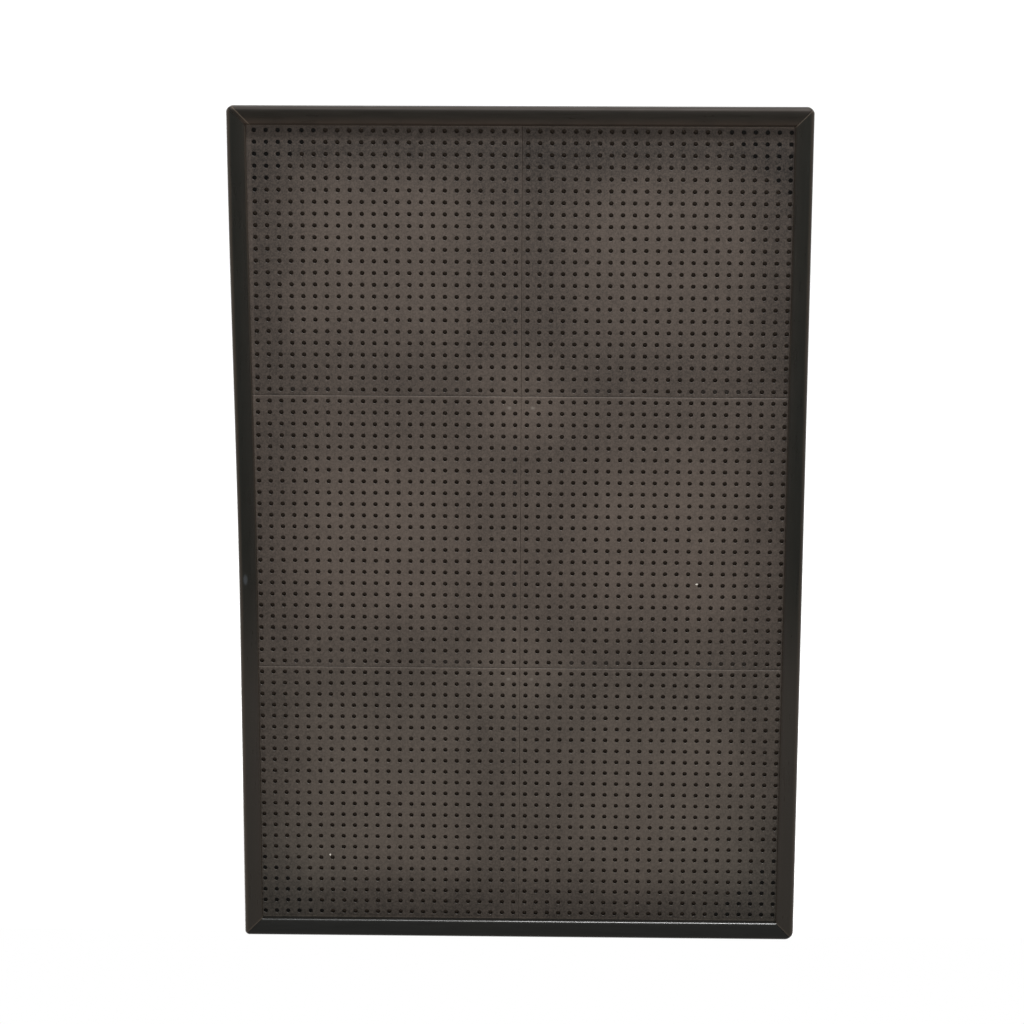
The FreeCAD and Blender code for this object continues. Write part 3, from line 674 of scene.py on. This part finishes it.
def make_rail(side, material):
    """One rail with its ends cut at 45 degrees, round at the outer corners of the frame."""
    turns, start, end = RAILS[side]
    level = side in (TOP, BOTTOM)
    half_length, distance = (HALF_WIDTH, HALF_HEIGHT) if level else (HALF_HEIGHT, HALF_WIDTH)
    radii = [CORNER_RADII[(corner, side) if level else (side, corner)] for corner in (start, end)]
    lines = []
    for inset, y in rail_section():
        in_rebate = y > TILE_FRONT - EASED_EDGE / 2 and EASED_EDGE < inset <= WALL
        first = [(short - half_length, across) for short, across in rail_end(inset, radii[0])]
        last = [(half_length - short, across) for short, across in rail_end(inset, radii[1])]
        low, high = first[0][0], last[0][0]
        shares = [i / LENGTH_STEPS for i in range(1, LENGTH_STEPS)]
        line = first[::-1] + [(low + (high - low) * share, inset) for share in shares] + last
        points = []
        for along, across in line:
            x, z = along, across - distance
            for _ in range(turns):
                x, z = -z, x
            if not in_rebate:
                x, z = moved_by_age(x, z)
            points.append((x, y, z))
        lines.append(points)
    steps = len(lines[0])
    faces = []
    for i in range(len(lines)):
        here, there = i * steps, (i + 1) % len(lines) * steps
        faces += [(here + j, here + j + 1, there + j + 1, there + j) for j in range(steps - 1)]
    faces.append([i * steps for i in range(len(lines))])
    faces.append([i * steps + steps - 1 for i in range(len(lines))])
    mesh = new_mesh(f"{side}_rail", [point for line in lines for point in line], faces)
    return add_piece(f"{side}_rail", mesh, material, f"rail_{side}", 30)


# ---- tiles -----------------------------------------------------------------------------------------


def set_deep(outline, y):
    """Points of an outline in the plane of the panel, at a depth."""
    return np.column_stack([outline[:, 0], np.full(len(outline), y), outline[:, 1]])


def hole_cell():
    """The square of plate about one hole, as rings of points from its front edge to its back edge."""
    angles = np.arange(HOLE_SIDES) * 2 * math.pi / HOLE_SIDES
    circle = np.column_stack([np.cos(angles), np.sin(angles)])
    square = circle / np.abs(circle).max(axis=1)[:, None] * PITCH / 2
    rings = (
        (square, TILE_FRONT),
        (circle * (HOLE_RADIUS + HOLE_CHAMFER), TILE_FRONT),
        (circle * HOLE_RADIUS, TILE_FRONT + HOLE_CHAMFER),
        (circle * HOLE_RADIUS, PLATE_BACK),
        (square, PLATE_BACK),
    )
    return np.concatenate([set_deep(ring, y) for ring, y in rings]), ring_faces(HOLE_SIDES, len(rings))


def plate_outline():
    """Points round the outside of the plate, where the squares about its outer holes have theirs."""
    angles = np.radians(np.arange(-45, 45, 360 / HOLE_SIDES))
    across = np.tan(angles) * PITCH / 2
    side = np.concatenate([across + (i - (HOLES - 1) / 2) * PITCH for i in range(HOLES)])
    edge = np.full(len(side), TILE / 2)
    sides = ((side, -edge), (edge, side), (-side, edge), (-edge, -side))
    return np.concatenate([np.column_stack(pair) for pair in sides])


def plate_mesh():
    """A square plate about the origin with its grid of holes and a rounded front edge."""
    cell, cell_faces = hole_cell()
    steps = np.arange(HOLES) - (HOLES - 1) / 2
    cells = [(cell + np.array([i, 0, j]) * PITCH, cell_faces) for i in steps for j in steps]
    points, faces = join_meshes(cells)
    flat_half = TILE_HALF - PLATE_ROUND
    for level, half in ((TILE_FRONT, flat_half), (PLATE_BACK, TILE_HALF)):
        chosen = np.abs(points[:, 1] - level) < 0.01 * MM
        points[chosen] = np.clip(points[chosen], (-half, level, -half), (half, level, half))
    profile = arc(flat_half, TILE_FRONT + PLATE_ROUND, PLATE_ROUND, 270, 360, 4)
    profile.append((TILE_HALF, PLATE_BACK))
    outline = plate_outline()
    skirt = [set_deep(np.clip(outline, -half, half), y) for half, y in profile]
    skirt_mesh = (np.concatenate(skirt), ring_faces(len(outline), len(profile)))
    return weld(*join_meshes([(points, faces), skirt_mesh]))


def rib(x, z, width, height):
    """A rib behind the plate of a tile about the origin."""
    return box_mesh((x - width / 2, PLATE_BACK, z - height / 2), (x + width / 2, TILE_BACK, z + height / 2))


def tile_ribs():
    """The rim, ring, spokes and corner bosses behind a plate."""
    meshes = []
    for size in (2 * TILE_HALF, RING + RIB):
        for i in (-1, 1):
            offset = i * (size - RIB) / 2
            meshes.append(rib(0, offset, size, RIB))
            meshes.append(rib(offset, 0, RIB, size - 2 * RIB))
    spoke = (2 * TILE_HALF - RING - 3 * RIB) / 2
    for i in (-1, 1):
        middle = i * (RING / 2 + RIB / 2 + spoke / 2)
        meshes += [rib(middle, 0, spoke, RIB), rib(0, middle, RIB, spoke)]
    boss, boss_faces = turned_mesh([(BOSS_RADIUS, PLATE_BACK), (BOSS_RADIUS, TILE_BACK)], HOLE_SIDES)
    reach = TILE / 2 - PITCH
    for i in (-1, 1):
        for j in (-1, 1):
            meshes.append((np.array(boss) + (i * reach, 0, j * reach), boss_faces))
    return meshes


def tile_tongues(row, column):
    """Tongues that reach behind the next tile, on the left edge and the upper edge."""
    width, reach = TONGUE
    depth = (TONGUE_FRONT, TONGUE_FRONT + RIB)
    meshes = []
    for offset in (-TONGUE_OFFSET, TONGUE_OFFSET):
        near, far = TILE_HALF, TILE_HALF + reach
        low, high = offset - width / 2, offset + width / 2
        if column == RIGHT:
            meshes.append(box_mesh((-far, depth[0], low), (-near, depth[1], high)))
        if row != TOP:
            meshes.append(box_mesh((low, depth[0], near), (high, depth[1], far)))
    return meshes


def make_tile(row, column, plate, ribs, material):
    """One tile with its ribs and tongues, in its place."""
    name = f"tile_{row}_{column}"
    points, faces = join_meshes([plate, *ribs, *tile_tongues(row, column)])
    points = points + np.array([COLUMNS[column] * TILE / 2, 0, ROWS[row] * TILE])
    mesh = new_mesh(f"{name}_moulding", points, faces)
    return add_piece(f"{name}_moulding", mesh, material, name)


# ---- screws and other metal ------------------------------------------------------------------------


def screw_mesh(shank_radius, length):
    """A countersunk screw that points to -y from the origin, with a cross recess in its head."""
    profile = [
        (SCREW_HEAD_RADIUS * 0.94, 0),
        (SCREW_HEAD_RADIUS, -SCREW_HEAD_BEVEL),
        (shank_radius, -SCREW_HEAD_DEPTH),
    ]
    turns = int((length - SCREW_HEAD_DEPTH - 2 * shank_radius) / THREAD_PITCH)
    for i in range(turns):
        y = -SCREW_HEAD_DEPTH - i * THREAD_PITCH
        profile.append((shank_radius * THREAD_ROOT, y - 0.3 * THREAD_PITCH))
        profile.append((shank_radius, y - 0.8 * THREAD_PITCH))
    profile.append((shank_radius * THREAD_ROOT, profile[-1][1] - 0.3 * THREAD_PITCH))
    profile.append((shank_radius * 0.1, -length))
    screw = bpy.data.objects.new("screw", new_mesh("screw", *turned_mesh(profile, SCREW_SIDES)))
    arms = []
    for across, up in ((RECESS_REACH, RECESS_WIDTH), (RECESS_WIDTH, RECESS_REACH)):
        top, bottom = (across, up), (across * RECESS_TAPER[0], up * RECESS_TAPER[1])
        points = [
            (i * half[0], y, j * half[1])
            for half, y in ((top, 0.1 * MM), (bottom, -RECESS_DEPTH))
            for i, j in ((-1, -1), (1, -1), (1, 1), (-1, 1))
        ]
        arms.append((points, [*ring_faces(4, 2), (0, 1, 2, 3), (4, 5, 6, 7)]))
    for arm in arms:
        cutter = bpy.data.objects.new("arm", new_mesh("arm", *arm))
        bpy.context.scene.collection.objects.link(cutter)
        cut = screw.modifiers.new("cut", "BOOLEAN")
        cut.operation = "DIFFERENCE"
        cut.solver = "EXACT"
        cut.object = cutter
    bpy.context.scene.collection.objects.link(screw)
    graph = bpy.context.evaluated_depsgraph_get()
    made = screw.evaluated_get(graph).to_mesh()
    points = np.array([v.co for v in made.vertices])
    faces = [list(polygon.vertices) for polygon in made.polygons]
    for thing in [screw, *(m.object for m in screw.modifiers)]:
        bpy.data.objects.remove(thing)
    return points, faces


def make_screws(node, shank_radius, material):
    """The screws of a CAD node, each with its recess turned differently from the last."""
    places = solids_of(node)
    points, faces = screw_mesh(shank_radius, places[0][1])
    meshes = []
    for i, (place, _) in enumerate(places):
        turn = np.array(Matrix.Rotation(i * math.radians(SCREW_TURN), 3, "Y"))
        meshes.append((points @ turn.T + np.array(place), faces))
    mesh = new_mesh(f"{node}_set", *join_meshes(meshes))
    return add_piece(f"{node}_set", mesh, material, node, 35)


def eased_copy(name, node, radius, material):
    """A CAD node with its sharp edges eased."""
    work = welded_copy(node)
    bmesh.ops.dissolve_limit(work, angle_limit=math.radians(1), verts=work.verts, edges=work.edges)
    sharp = [e for e in work.edges if e.is_manifold and e.calc_face_angle(0) > math.radians(40)]
    bmesh.ops.bevel(work, geom=sharp, offset=radius, segments=2, profile=0.5, affect="EDGES")
    bmesh.ops.recalc_face_normals(work, faces=work.faces)
    mesh = bpy.data.meshes.new(name)
    work.to_mesh(mesh)
    work.free()
    return add_piece(name, mesh, material, node, 30)


# ---- build -----------------------------------------------------------------------------------------

for side in RAILS:
    make_rail(side, rail_lacquer(side))

plate, ribs = plate_mesh(), tile_ribs()
for row, column in TONES:
    make_tile(row, column, plate, ribs, tile_plastic(row, column))

screw_steel = bare_metal("screw_steel", STEEL, 0.34, 1.0 * MM)
zinc = bare_metal("zinc_steel", ZINC, 0.36, 3.0 * MM)
make_screws("back_board_screws", LONG_SHANK, screw_steel)
make_screws("hanger_screws", LONG_SHANK, screw_steel)
make_screws("tile_screws", SHORT_SHANK, screw_steel)
for side in COLUMNS:
    eased_copy(f"{side}_hanger", f"hanger_plate_{side}", 0.2 * MM, zinc)
eased_copy("corner_keys", "mitre_keys", 0.1 * MM, zinc)
paint = block_paint()
for column in COLUMNS:
    for row in (BOTTOM, TOP):
        node = f"corner_block_{row}_{column}"
        eased_copy(f"{row}_{column}_block", node, 0.3 * MM, paint)
# The back board keeps its CAD mesh.
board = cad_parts["back_board"]
board.data.materials.clear()
board.data.materials.append(hardboard())

# ---- stage -----------------------------------------------------------------------------------------

# The camera's angles are in degrees, its lens and sensor in millimetres.
CAMERA_PLACE = (0.0380, -3.0181, 0.6837)
CAMERA_TURN, CAMERA_TILT, CAMERA_ROLL = 0.900, -12.327, 0.231
CAMERA_LENS = 99.34
SENSOR = 36.0
# The floor starts behind the panel and just below it.
FLOOR_FRONT = BACK
FLOOR_DROP = 0.5 * MM
FLOOR_REACH = 40.0
# Strength of the light from in front and from behind, and how much stronger it is from above.
WORLD_FRONT, WORLD_BACK = 0.34, 1.15
WORLD_LEVEL, WORLD_TOP = 1.0, 1.9


def make_floor():
    """A plain pale floor, behind the panel."""
    low, near, far, side = cad_low.z - FLOOR_DROP, FLOOR_FRONT, FLOOR_REACH, FLOOR_REACH
    corners = [(-side, near, low), (side, near, low), (side, far, low), (-side, far, low)]
    mesh = bpy.data.meshes.new("floor")
    mesh.from_pydata(corners, [], [(0, 1, 2, 3)])
    finish = Finish("floor_white", specular=0.2)
    tones = finish.fade(finish.noise(0.4, 3.0), 0.3, 0.7, 0.88, 0.90)
    mesh.materials.append(finish.finish(finish.brighten((1, 1, 1), tones), 0.8))
    floor = bpy.data.objects.new("floor", mesh)
    bpy.context.scene.collection.objects.link(floor)


def make_camera():
    """A camera a little above the middle of the panel, looking down at it."""
    data = bpy.data.cameras.new("camera")
    data.lens = CAMERA_LENS
    data.sensor_width = SENSOR
    camera = bpy.data.objects.new("camera", data)
    bpy.context.scene.collection.objects.link(camera)
    turn = Matrix.Rotation(math.radians(CAMERA_TURN), 4, "Z")
    tilt = Matrix.Rotation(math.radians(90 + CAMERA_TILT), 4, "X")
    roll = Matrix.Rotation(math.radians(CAMERA_ROLL), 4, "Z")
    camera.matrix_world = Matrix.Translation(CAMERA_PLACE) @ turn @ tilt @ roll
    bpy.context.scene.camera = camera


def add_light(name, place, aim, size, power, mirrored=True, lights=True):
    """A soft rectangular light, which may be left out of reflections or only be seen in them."""
    data = bpy.data.lights.new(name, "AREA")
    data.shape = "RECTANGLE"
    data.size, data.size_y = size
    data.energy = power
    light = bpy.data.objects.new(name, data)
    bpy.context.scene.collection.objects.link(light)
    light.location = place
    light.rotation_euler = (Vector(aim) - Vector(place)).to_track_quat("-Z", "Y").to_euler()
    light.visible_camera = False
    light.visible_glossy = mirrored
    light.visible_diffuse = lights


def make_world():
    """Even studio light, weak from in front and strong from behind and above, on a white backdrop."""
    world = bpy.data.worlds.new("world")
    world.use_nodes = True
    tree = world.node_tree
    nodes, links = tree.nodes, tree.links
    nodes.clear()
    direction = nodes.new("ShaderNodeSeparateXYZ")
    links.new(nodes.new("ShaderNodeTexCoord").outputs["Generated"], direction.inputs[0])

    def ramp(axis, start, end, low, high):
        """A number from low to high as the direction's part along an axis goes from start to end."""
        node = nodes.new("ShaderNodeMapRange")
        links.new(direction.outputs[axis], node.inputs["Value"])
        sockets = ("From Min", "From Max", "To Min", "To Max")
        for socket, value in zip(sockets, (start, end, low, high)):
            node.inputs[socket].default_value = value
        return node.outputs["Result"]

    strength = nodes.new("ShaderNodeMath")
    strength.operation = "MULTIPLY"
    links.new(ramp("Y", -0.25, 0.25, WORLD_FRONT, WORLD_BACK), strength.inputs[0])
    links.new(ramp("Z", 0.0, 1.0, WORLD_LEVEL, WORLD_TOP), strength.inputs[1])
    light = nodes.new("ShaderNodeBackground")
    light.inputs["Color"].default_value = (1, 1, 1, 1)
    links.new(strength.outputs[0], light.inputs["Strength"])
    backdrop = nodes.new("ShaderNodeBackground")
    backdrop.inputs["Color"].default_value = (1, 1, 1, 1)
    mix = nodes.new("ShaderNodeMixShader")
    links.new(nodes.new("ShaderNodeLightPath").outputs["Is Camera Ray"], mix.inputs[0])
    links.new(light.outputs[0], mix.inputs[1])
    links.new(backdrop.outputs[0], mix.inputs[2])
    links.new(mix.outputs[0], nodes.new("ShaderNodeOutputWorld").inputs["Surface"])
    bpy.context.scene.world = world


make_floor()
make_camera()
add_light("key", place=(0.30, -0.95, 2.2), aim=(0, 0, 0), size=(0.9, 0.3), power=62)
add_light("strip", place=(0.34, -0.80, 2.2), aim=(0.1, 0, -0.46), size=(0.8, 0.14), power=85, lights=False)
add_light("fill", place=(0.1, -3.6, 0.1), aim=(0, 0, 0), size=(2.4, 2.0), power=80, mirrored=False)
make_world()
bpy.context.scene.view_settings.view_transform = "Standard"
